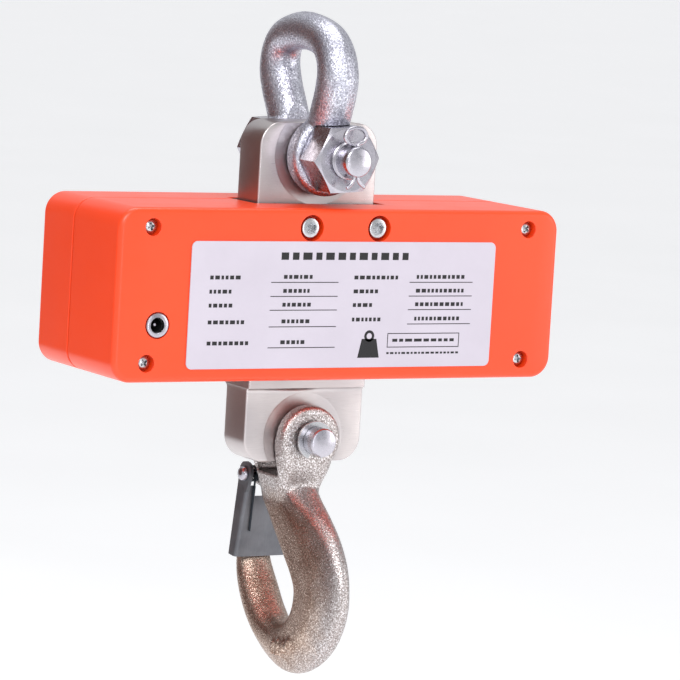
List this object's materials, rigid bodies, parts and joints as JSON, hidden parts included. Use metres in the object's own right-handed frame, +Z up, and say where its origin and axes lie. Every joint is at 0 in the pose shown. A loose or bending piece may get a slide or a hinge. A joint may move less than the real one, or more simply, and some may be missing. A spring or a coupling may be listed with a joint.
{
  "type": "crane scale",
  "caption": "Hanging crane scale with a bow shackle, an aluminium load cell, a moulded orange case and a clevis hook with a sprung latch.",
  "frame": {"origin": "bearing point on the inside of the shackle crown, where the scale hangs", "axes": "+Z up, +X to the right when facing the label side, +Y from the label side to the display side"},
  "size_m": [0.2505, 0.1062, 0.3337],
  "materials": {
    "galvanised_steel": "hot-dip galvanised, grainy",
    "zinc_plated_steel": "bright zinc plating",
    "forged_steel": "galvanised forging, grainy, warm",
    "sheet_steel": "blue-grey pressed sheet",
    "stainless_steel": "turned, satin",
    "aluminium": "machined, satin",
    "orange_plastic": "moulded, satin gloss",
    "rubber": "matte",
    "label_film": "printed film",
    "silicone": "cast potting",
    "black_plastic": "moulded",
    "board_laminate": "solder mask",
    "display_window": "tinted, polished",
    "digit_face": "moulded",
    "battery_case": "moulded",
    "strap_film": "film",
    "spring_steel": "oiled spring wire"
  },
  "bodies": {
    "shackle": {"shackle_bow": "galvanised_steel", "shackle_bolt": "zinc_plated_steel", "shackle_nut": "zinc_plated_steel", "shackle_washer": "zinc_plated_steel", "shackle_cotter_pin": "zinc_plated_steel"},
    "hook": {"hook_body": "forged_steel", "hook_pin": "zinc_plated_steel", "hook_pin_clip": "stainless_steel"},
    "latch": {"hook_latch": "sheet_steel", "latch_pin": "zinc_plated_steel", "latch_spring": "spring_steel"},
    "button_1": {"button_1": "rubber"},
    "button_2": {"button_2": "rubber"},
    "button_3": {"button_3": "rubber"},
    "button_4": {"button_4": "rubber"},
    "scale": {"load_cell": "aluminium", "gauge_potting_front": "silicone", "gauge_potting_rear": "silicone", "gauge_cover_front": "stainless_steel", "gauge_cover_rear": "stainless_steel", "label_side_shell": "orange_plastic", "display_side_shell": "orange_plastic", "case_gasket_right": "rubber", "case_gasket_left": "rubber", "cell_seal_top": "rubber", "cell_seal_bottom": "rubber", "label_plate": "label_film", "case_screw_1": "stainless_steel", "case_screw_2": "stainless_steel", "case_screw_3": "stainless_steel", "case_screw_4": "stainless_steel", "cell_bolt_left": "stainless_steel", "cell_bolt_right": "stainless_steel", "charge_socket_body": "black_plastic", "charge_socket_ring": "zinc_plated_steel", "charge_socket_pin": "zinc_plated_steel", "charge_socket_nut": "zinc_plated_steel", "main_board": "board_laminate", "processor_module": "black_plastic", "terminal_block": "board_laminate", "main_board_screw_1": "stainless_steel", "main_board_screw_2": "stainless_steel", "display_board": "board_laminate", "display_board_screw_1": "stainless_steel", "display_board_screw_2": "stainless_steel", "display_board_screw_3": "stainless_steel", "display_board_screw_4": "stainless_steel", "display_digit_1": "digit_face", "display_digit_2": "digit_face", "display_digit_3": "digit_face", "display_digit_4": "digit_face", "display_digit_5": "digit_face", "display_window": "display_window", "button_switch_1": "black_plastic", "button_switch_2": "black_plastic", "button_switch_3": "black_plastic", "button_switch_4": "black_plastic", "battery_pack": "battery_case", "battery_strap": "strap_film", "cell_cable": "rubber"}
  },
  "joints": [
    {"name": "shackle_swing", "type": "hinge", "parent": "shackle", "child": "scale", "pos_m": [0.00333, 0, -0.05149], "axis": [0, 1, 0], "range_deg": [-90, 84]},
    {"name": "hook_swing", "type": "hinge", "parent": "scale", "child": "hook", "pos_m": [0.00333, 0, -0.19319], "axis": [0, 1, 0], "range_deg": [-18, 18]},
    {"name": "latch_open", "type": "hinge", "parent": "hook", "child": "latch", "pos_m": [0.00333, 0.024, -0.21699], "axis": [-1, 0, 0], "range_deg": [0, 28], "stiffness_Nm_per_rad": 0.06, "springref_deg": -11.46},
    {"name": "button_1_press", "type": "slide", "parent": "scale", "child": "button_1", "axis": [0, -1, 0], "range_m": [0, 0.0015], "stiffness_N_per_m": 350},
    {"name": "button_2_press", "type": "slide", "parent": "scale", "child": "button_2", "axis": [0, -1, 0], "range_m": [0, 0.0015], "stiffness_N_per_m": 350},
    {"name": "button_3_press", "type": "slide", "parent": "scale", "child": "button_3", "axis": [0, -1, 0], "range_m": [0, 0.0015], "stiffness_N_per_m": 350},
    {"name": "button_4_press", "type": "slide", "parent": "scale", "child": "button_4", "axis": [0, -1, 0], "range_m": [0, 0.0015], "stiffness_N_per_m": 350}
  ]
}
